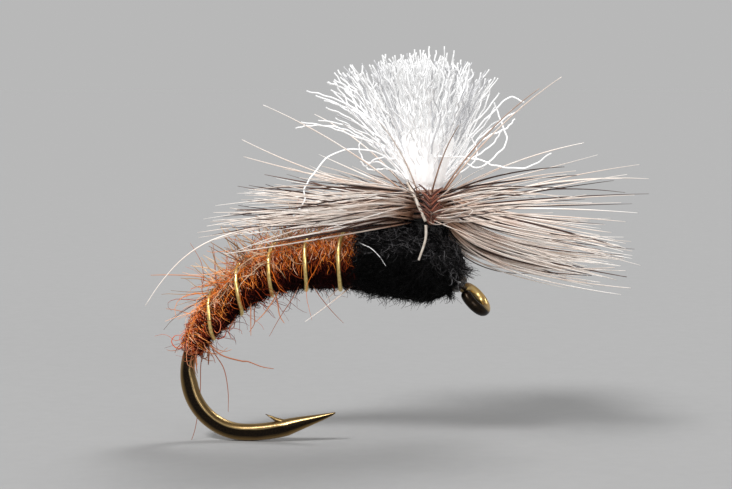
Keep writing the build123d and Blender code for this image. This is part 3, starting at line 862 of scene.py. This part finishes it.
# Fibres that have come away from the post: heading, height, first climb and steps.
YARN_STRAYS = [
    (200, 4.3, 46,
     [(1.5, 0), (1.2, -29), (1.1, -30), (1, -35), (0.55, -10), (0.5, -30), (0.7, 36)]),
    (176, 4.3, 40, [(0.8, 0), (0.5, -24), (0.6, -20), (0.5, 44)]),
    (184, 4.3, 62, [(0.9, 0), (0.6, -34), (0.5, -34), (0.5, -32)]),
    (190, 4.5, 66, [(1, 0), (0.6, 12), (0.5, 26), (0.5, -16), (0.6, -24), (0.7, -20)]),
    (170, 4.6, 58, [(1.1, 0), (0.8, -8), (0.9, 4), (1.1, -18), (0.9, -8)]),
    (184, 4.6, 55, [(1.2, 0), (0.9, -10), (0.9, 6), (1, -24), (1, -6)]),
    (175, 4.7, 60, [(1.4, 0), (1, -8), (1, -6), (1, -2), (0.6, 10)]),
    (180, 4.7, 57, [(1.6, 0), (1.2, -4), (1, 4), (0.9, -16)]),
    (182, 4.3, 35, [(1.5, 0), (0.6, -30), (0.6, 60), (0.5, 50)]),
    (172, 4.3, 52, [(1.6, 0), (0.6, 30), (0.6, -20), (0.7, -40)]),
    (-8, 4.6, 60, [(0.9, 0), (1.2, -63), (0.6, -17), (1.2, 17), (1.1, 33)]),
    (0, 4.3, 50, [(1.2, 0), (0.8, -65), (0.8, 50), (0.7, 19), (0.8, 53), (0.7, 3)]),
    (3, 4.3, 33, [(1.5, 0), (0.6, 35), (0.7, 50), (0.5, 30)]),
    (1, 4.6, 52, [(2.3, 0), (1, -6), (0.8, -4), (0.6, -62)]),
    (-4, 4.4, 42, [(1, 0), (0.8, -14), (0.8, 8), (0.6, 20)]),
    (8, 4.4, 50, [(1.3, 0), (0.9, 8), (0.7, -12), (0.8, 14)]),
    (0, 4.5, 54, [(1.6, 0), (0.8, 16), (0.8, -26), (0.9, 10)]),
    (-80, 4.9, 70, [(0.5, 0), (0.5, 60, -60), (0.5, 60, -10), (0.4, 60, 30), (0.4, 50, 40)]),
]


def post_core():
    """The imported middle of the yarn, which widens above its binding and closes in a dome."""
    height = CORE_FOOT + (CORE_TOP - CORE_FOOT) * shares(60)
    flare = np.maximum(height - POST_FOOT, 0)
    widening = POST_R + 0.12 * smooth(flare / 0.3) + 0.36 * np.minimum(flare, 2)
    radius = widening * np.sqrt(np.clip((DOME_TOP - height) / 2, 0, 1))
    angle = circle(72)
    grooves = (1 + 0.03 * sin(9 * angle) + 0.02 * sin(17 * angle + 1)
               + 0.015 * sin(31 * angle + 2))
    out = radius[:, None] * grooves
    x, z = POST_X + (REAR_LEAN * flare)[:, None], np.broadcast_to(height[:, None], out.shape)
    rings = np.stack([x + out * cos(angle), out * sin(angle), z], -1)
    place(shells("post_core", rings[None]), "white_yarn", "white_core", "post_yarn")


def post_fibres(rng):
    """The post's crimped fibres, which fan out from its binding to a rounded brush."""
    count = YARN_COUNT
    share, theta = rng.uniform(0, 1, count) ** 0.58, rng.uniform(0, TAU, count)
    lean = radians(YARN_FAN * share + rng.normal(0, 3, count))
    # A few fibres at the outside splay, more of them to the rear.
    rearward = -cos(theta)
    wild = (rng.uniform(0, 1, count) < 0.06 + 0.08 * (rearward > 0.5)) & (share > 0.6)
    lean = lean + wild * radians(rng.uniform(6, 24, count))
    length = YARN_LENGTH - 0.45 * share ** 2 + rng.normal(0, 0.26, count)
    length = length - wild * rng.uniform(0, 0.9, count)
    length = length - (rng.uniform(0, 1, count) < 0.25) * rng.uniform(0.3, 2, count)
    at = 0
    for heading, from_upright, reach, bunch in YARN_BUNCHES:
        part = slice(at, at + bunch)
        theta[part] = radians(heading + rng.normal(0, 5, bunch))
        lean[part] = radians(from_upright + rng.normal(0, 1.6, bunch))
        length[part] = reach + rng.normal(0, 0.25, bunch)
        share[part] = rng.uniform(0.7, 1, bunch)
        at += bunch
    zero = np.zeros(count)
    outward = np.stack([cos(theta), sin(theta), zero], -1)
    sideways = np.stack([-sin(theta), cos(theta), zero], -1)
    foot = YARN_ROOT_R * share[:, None] * outward + [POST_X, 0, POST_FOOT - 0.15]
    u = shares(YARN_POINTS)
    # The fibres stand upright where they leave the binding and soon reach their lean.
    settle = (u - 0.08 * (1 - np.exp(-u / 0.08)))[None]
    out = sin(lean)[:, None, None] * outward[:, None] * settle[..., None] / 0.92
    upward = (u[None] * (1 - (1 - cos(lean))[:, None] * settle))[..., None]
    lines = foot[:, None] + length[:, None, None] * (out + upward * np.array([REAR_LEAN, 0, 1]))
    for direction in (outward, sideways):
        kink = column(rng, 0.012, 0.058, count) * (0.1 + 0.9 * u ** 0.9)[None]
        kink = kink * wave(column(rng, 4, 10, count), u, column(rng, 0, TAU, count))
        sway = wave(column(rng, 0.6, 2.2, count), u, column(rng, 0, TAU, count))
        sway = column(rng, 0, 0.3, count) * (u ** 1.5)[None] * sway
        lines = lines + (kink + sway)[..., None] * direction[:, None]
    radii = column(rng, 0.029, 0.038, count) * np.ones(YARN_POINTS)
    # Darker fibres, mostly at the sides, are painted shade standing in for the dark gaps between
    # the bright ones.
    dark = np.where(share * np.abs(cos(theta)) > 0.45, 0.36, 0.08)
    tone = np.where(rng.uniform(0, 1, count) < dark, rng.uniform(0, 0.15, count),
                    rng.uniform(0.6, 1, count))
    half = count // 2
    for i, part in enumerate((slice(0, half), slice(half, count))):
        piece = tubes(f"post_fibres_{i + 1}", lines[part], radii[part], tone[part])
        place(piece, "white_yarn", "white_fibre")


def post_strays(rng):
    """Loose fibres of the post, one by one and then in bunches."""
    lines = []
    for heading, z, climb, steps in YARN_STRAYS:
        a = radians(heading)
        start = (POST_X + 0.45 * cos(a), 0.45 * sin(a) - 0.2, z)
        lines.append(wander(start, heading, climb, steps, 60))
    for heading, z, climb, steps, bunch in YARN_SPLAYS:
        for _ in range(bunch):
            a = radians(heading + rng.normal(0, 14))
            start = (POST_X + 0.5 * cos(a), 0.5 * sin(a), z + rng.normal(0, 0.1))
            bent = [(size * rng.uniform(0.85, 1.1), rng.normal(0, 5), bend + rng.normal(0, 6))
                    for size, bend in steps]
            lines.append(wander(start, np.degrees(a), climb + rng.normal(0, 2), bent, 60))
    lines = np.array(lines)
    count, points = lines.shape[:2]
    u = shares(points)
    for axis in range(3):
        beat = column(rng, 4, 9, count)
        lines[..., axis] += 0.012 * wave(beat, u, column(rng, 0, TAU, count))
    tones = rng.uniform(0.5, 1, count)
    piece = tubes("post_strays", lines, np.full((count, points), YARN_R), tones, 5)
    place(piece, "white_yarn", "white_fibre")


def build_post():
    rng = np.random.default_rng(5)
    post_core()
    post_fibres(rng)
    post_strays(rng)


# ---- hackle
BARBS_EACH_TURN = 13  # clumps of barbs that one turn of the feather spreads
BARB_OUT = 0.66  # distance from the post's axis where the barbs start
BARB_R = 0.034  # a stray barb's radius
LOWER_FAN = -11  # barbs that leave the post more steeply than this bend out lower down
LOWER_TILT = -7  # the rise that they bend out to
# Barbs that stray from the fans: heading, rise, length, and how far they bend on the way.
BARB_STRAYS = [
    (207, 28, 6.8, 2), (150, 31, 5.6, -4), (192, 14.5, 6.7, 26), (165, 9, 7.4, 8),
    (-28, 37, 6.9, 4), (-36, 37, 6.3, 2), (24, 18, 6.1, -6), (-70, 34, 4.6, 0), (-108, 38, 4.4, 4),
]
# A barb that sags far out behind: its steps, as for wander.
SAGGING_BARB = [(2.3, 0), (2.3, -3), (1.7, -3), (1.4, -8), (1.2, -16), (1.2, -14), (1, -8)]
# Low barbs at the front and the rear: count, heading, rise, length, how much they bow, and height.
LOW_BARBS = [
    (70, (4, 60), (-88, -56), (5, 8), 9, (3, 3.5)),
    (36, (130, 228), (-7, 2), (4.4, 7.6), 5, (2.92, 3.35)),
]
# Ends of the feather's stem: name, points from the post's axis, their number when drawn, radius at
# both ends, sides and material.
STEMS = [
    ("hackle_stem_end", [(0.05, -0.66, 4.1), (0.24, -1.4, 4.2), (0.34, -1.68, 4),
                         (0.34, -1.69, 3.5), (0.34, -1.68, 3), (0.1, -0.66, 3)],
     60, 0.045, 0.045, 8, "quill_brown"),
    ("hackle_quill_butt", [(-0.55, -1.4, 4.5), (-0.24, -1.68, 3.9), (0.16, -1.84, 3.08)],
     30, 0.075, 0.06, 10, "quill_horn"),
    ("hackle_quill_tip", [(0.17, -1.84, 2.94), (0.14, -1.8, 2.37), (-0.11, -1.74, 1.62)],
     30, 0.055, 0.04, 8, "quill_horn"),
]


def barb_rise(rng, azimuth):
    """The rise in degrees of a clump of barbs, by the way it points. The front has two fans."""
    front, near = max(cos(azimuth), 0), max(-sin(azimuth), 0)
    from_front = (np.degrees(azimuth) + 180) % 360 - 180
    if -38 < from_front < 50 and rng.uniform() < 0.66:
        return rng.uniform(-88 if sin(azimuth) > 0.1 else -62, -18)
    if 50 < from_front < 78:
        return rng.uniform(-88, -45)
    if cos(azimuth) < -0.4:
        return rng.choice([7.5, 1.5, -4, -8]) + rng.uniform(-2.2, 2.2)
    return rng.uniform(-6 + 9 * near ** 1.5 + 6 * front, 8 + 9 * front ** 2 - near)


def barb_line(azimuth, rise, size, bow, sway, height, points=20):
    """One barb: it leaves the post at its rise, flattens out, and bows and sways a little."""
    u = shares(points)
    if rise < LOWER_FAN:
        slope = LOWER_TILT + (rise - LOWER_TILT) * np.exp(-u / 0.27) + bow * (u - 0.4)
    else:
        slope = rise * (1.3 - 0.6 * u) + bow * (u - 0.4)
    slope = radians(slope)
    a = azimuth + sway * u ** 1.5
    step = size / (points - 1)
    out = BARB_OUT + np.concatenate([[0], np.cumsum(cos(slope[1:]))]) * step
    climb = np.concatenate([[0], np.cumsum(sin(slope[1:]))]) * step
    return np.stack([POST_X + out * cos(a), out * sin(a), height + climb], -1)


def barb_turn(rng, turn):
    """The barbs of one turn of the feather, in clumps that hang together."""
    lines, tones, thick = [], [], []
    pitch = (HACKLE_HIGH - HACKLE_LOW) / HACKLE_TURNS
    for i in range(BARBS_EACH_TURN):
        azimuth = TAU * (i + rng.uniform(-0.45, 0.45)) / BARBS_EACH_TURN + turn * 0.7
        rise = barb_rise(rng, azimuth)
        rear, front = max(-cos(azimuth), 0), max(cos(azimuth), 0)
        reach = rng.uniform(7.2 - 1.7 * rear, 8.4 - 0.1 * rear)
        # Fewer barbs point straight at the camera or to the rear.
        if -sin(azimuth) > 0.8 and rng.uniform() < 0.5:
            continue
        if cos(azimuth) < -0.7 and rng.uniform() < 0.25:
            continue
        clump_tone = rng.uniform(-0.12, 0.08)
        sway, bow = rng.normal(0, 0.05), rng.normal(0, 3)
        lower = rise < LOWER_FAN
        trim, dark = (0.94, 0.2) if lower else (1 - 0.035 * front, 0.34)
        for _ in range(rng.integers(4, 9) + 2 * lower):
            height = HACKLE_LOW + (turn + rng.uniform(0.1, 0.9)) * pitch
            spread = rng.normal(0, 1, 4) * (0.085, 3.2, 6, 0.08)
            size = reach * rng.uniform(0.84, 1.04) * trim
            lines.append(barb_line(azimuth + spread[0], rise + spread[1], size, bow + spread[2],
                                   sway + spread[3], height))
            # Dark barbs are partly the feather's own brown and partly painted shade for the gaps
            # between barbs.
            shade = rng.uniform(0, 0.22) if rng.uniform() < dark else rng.uniform(0.66, 1)
            tones.append(np.clip(clump_tone + shade, 0, 1))
            thick.append(rng.uniform(0.026, 0.042))
    fibres(f"hackle_turn_{turn + 1}", "feather", "hackle_barb", lines, thick, tones,
           f"hackle_barbs_{turn + 1}", thin=0.78, sides=4)


def low_barbs(rng):
    lines = []
    for count, headings, rises, sizes, bow, heights in LOW_BARBS:
        for _ in range(count):
            lines.append(barb_line(
                radians(rng.uniform(*headings)), rng.uniform(*rises), rng.uniform(*sizes),
                rng.normal(0, bow), rng.normal(0, 0.12), rng.uniform(*heights)))
    count = len(lines)
    # As in the turns, dark barbs are partly the feather's own brown and partly painted shade for
    # the gaps.
    tones = np.where(rng.uniform(0, 1, count) < 0.32, rng.uniform(0, 0.25, count),
                     rng.uniform(0.6, 1, count))
    fibres("hackle_low_barbs", "feather", "hackle_barb", lines, BARB_R, tones, sides=4)


def stray_barbs(rng):
    lines = [barb_line(radians(a), rise / 0.9, size, bend, rng.normal(0, 0.05), 3.9, 30)
             for a, rise, size, bend in BARB_STRAYS]
    lines.append(wander((POST_X - BARB_OUT, -0.3, 3.4), 192, -4, SAGGING_BARB, 30))
    tones = rng.uniform(0.45, 0.95, len(lines))
    fibres("hackle_strays", "feather", "hackle_barb", lines, BARB_R, tones)


def root_barbs(rng):
    """Short barbs up the near side of the stem, in pairs that lean apart."""
    lines, tones = [], []
    for i in range(20):
        side, pair = 1 if i % 2 else -1, i // 2
        height = 2.98 + 1.15 * pair / 10 + rng.normal(0, 0.015)
        half = 0.5 * rng.uniform(0.46, 0.64)
        start = (POST_X + 0.34 + 0.02 * side, -1.74, height)
        heading = -90 + side * rng.uniform(70, 84)
        lines.append(wander(start, heading, rng.uniform(42, 52), [(half, 0), (half, -12)], 10))
        tones.append(rng.uniform(0, 0.35) if pair % 2 else rng.uniform(0.6, 1))
    fibres("hackle_root_barbs", "feather", "hackle_barb_root", lines, 0.044, tones)


def build_hackle():
    rng = np.random.default_rng(31)
    for turn in range(HACKLE_TURNS):
        barb_turn(rng, turn)
    low_barbs(rng)
    stray_barbs(rng)
    root_barbs(rng)
    coil = post_helix(HACKLE_LOW, HACKLE_HIGH, HACKLE_TURNS, QUILL_COIL_R, 260)
    place(tube("hackle_quill_coil", coil, QUILL_R, QUILL_R, 10), "quill", "quill_brown",
          "hackle_quill")
    for name, points, count, start_r, end_r, sides, material in STEMS:
        line = spline(np.array(points) + [POST_X, 0, 0], count)
        place(tube(name, line, start_r, end_r, sides), "quill", material)


# ---- studio
FLOOR_HALF = 6000
# Each light: its strength, how many degrees wide it is, and where it shines from.
LIGHTS = {
    "key": (3.2, 14, (-0.42, -0.95, 1.05)),
    "rim": (1.8, 20, (0.6, 0.8, 1.3)),
    "front": (1.3, 30, (0.6, -1, 0.15)),
}
# A long lens, a little above the fly's level and towards its front.
CAMERA_AZIMUTH, CAMERA_ELEVATION, CAMERA_DISTANCE = radians(7), radians(4.5), 77.7
CAMERA_TARGET = np.array([-4.17, 0, 2.05])
LENS, SENSOR = 100, 36


def build_studio():
    SCENE.view_settings.view_transform = "Standard"
    low = min(corner[2] for corner in CAD_BOX) / MM - 0.01
    corners = np.array([[-1, -1, 0], [1, -1, 0], [1, 1, 0], [-1, 1, 0]]) * FLOOR_HALF + [0, 0, low]
    floor = new_object("floor", corners, [np.array([[0, 1, 2, 3]])])
    floor.data.materials.append(MATERIALS["floor_paper"])
    SCENE.world = world = bpy.data.worlds.new("studio")
    world.use_nodes = True
    world.node_tree.nodes["Background"].inputs["Color"].default_value = (*grey(WORLD), 1)
    for name, (strength, width, source) in LIGHTS.items():
        light = bpy.data.lights.new(name, "SUN")
        light.energy, light.angle = strength, radians(width)
        lamp = bpy.data.objects.new(name, light)
        lamp.rotation_euler = Vector(source).to_track_quat("Z", "Y").to_euler()
        SCENE.collection.objects.link(lamp)


def build_camera():
    level = cos(CAMERA_ELEVATION)
    away = np.array([sin(CAMERA_AZIMUTH) * level, -cos(CAMERA_AZIMUTH) * level,
                     sin(CAMERA_ELEVATION)])
    data = bpy.data.cameras.new("camera")
    data.lens, data.sensor_width = LENS, SENSOR
    data.clip_start, data.clip_end = 0.001, 50
    camera = bpy.data.objects.new("camera", data)
    camera.location = Vector((CAMERA_TARGET + CAMERA_DISTANCE * away) * MM)
    camera.rotation_euler = Vector(away).to_track_quat("Z", "Y").to_euler()
    SCENE.collection.objects.link(camera)
    SCENE.camera = camera


build_studio()
build_camera()
build_hook()
build_thread()
build_abdomen()
build_rib()
build_thorax()
build_post()
build_hackle()

bpy.context.view_layer.update()
